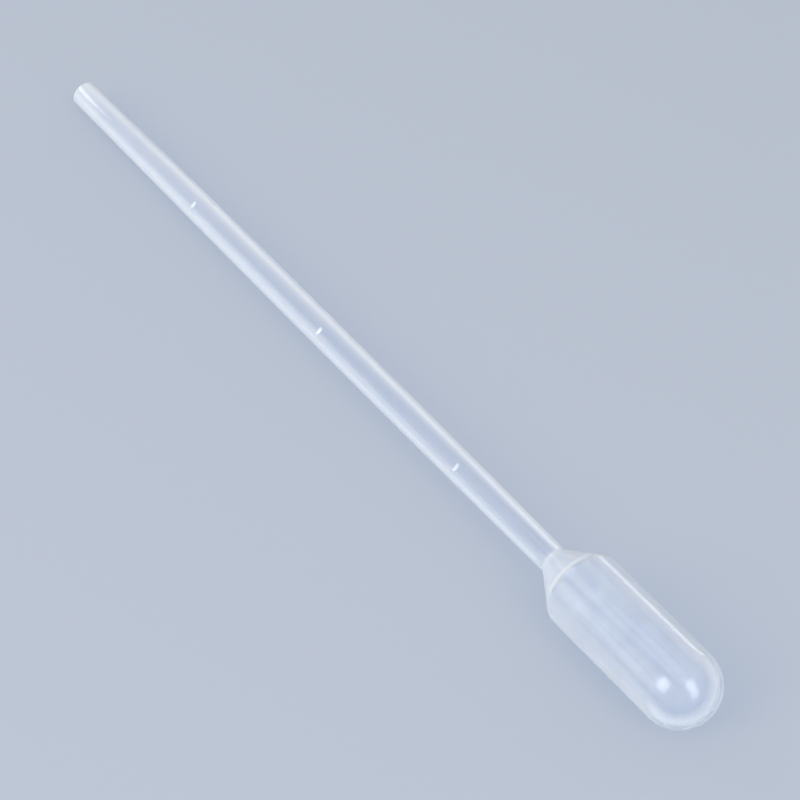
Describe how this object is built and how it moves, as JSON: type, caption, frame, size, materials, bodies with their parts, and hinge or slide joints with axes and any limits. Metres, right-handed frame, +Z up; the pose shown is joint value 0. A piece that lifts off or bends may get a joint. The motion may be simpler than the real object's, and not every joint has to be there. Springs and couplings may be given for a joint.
{
  "type": "dropper pipette",
  "caption": "One-piece plastic dropper pipette: squeeze bulb, conical shoulder and long slim open-tipped stem, to draw up and drip small volumes of liquid.",
  "frame": {"origin": "middle of the bounding box, on the surface that the pipette lies on", "axes": "+X along the lying pipette from its tip to its bulb, +Z up; the axis of the pipette climbs 1.68 degrees towards the bulb, because the edge of the tip and the edge of the shoulder both touch the surface"},
  "size_m": [0.115, 0.0086, 0.0091],
  "materials": {
    "clear_polyethylene": "natural, milky clear, softly glossy as moulded"
  },
  "bodies": {
    "root": {"pipette": "clear_polyethylene"}
  },
  "joints": []
}
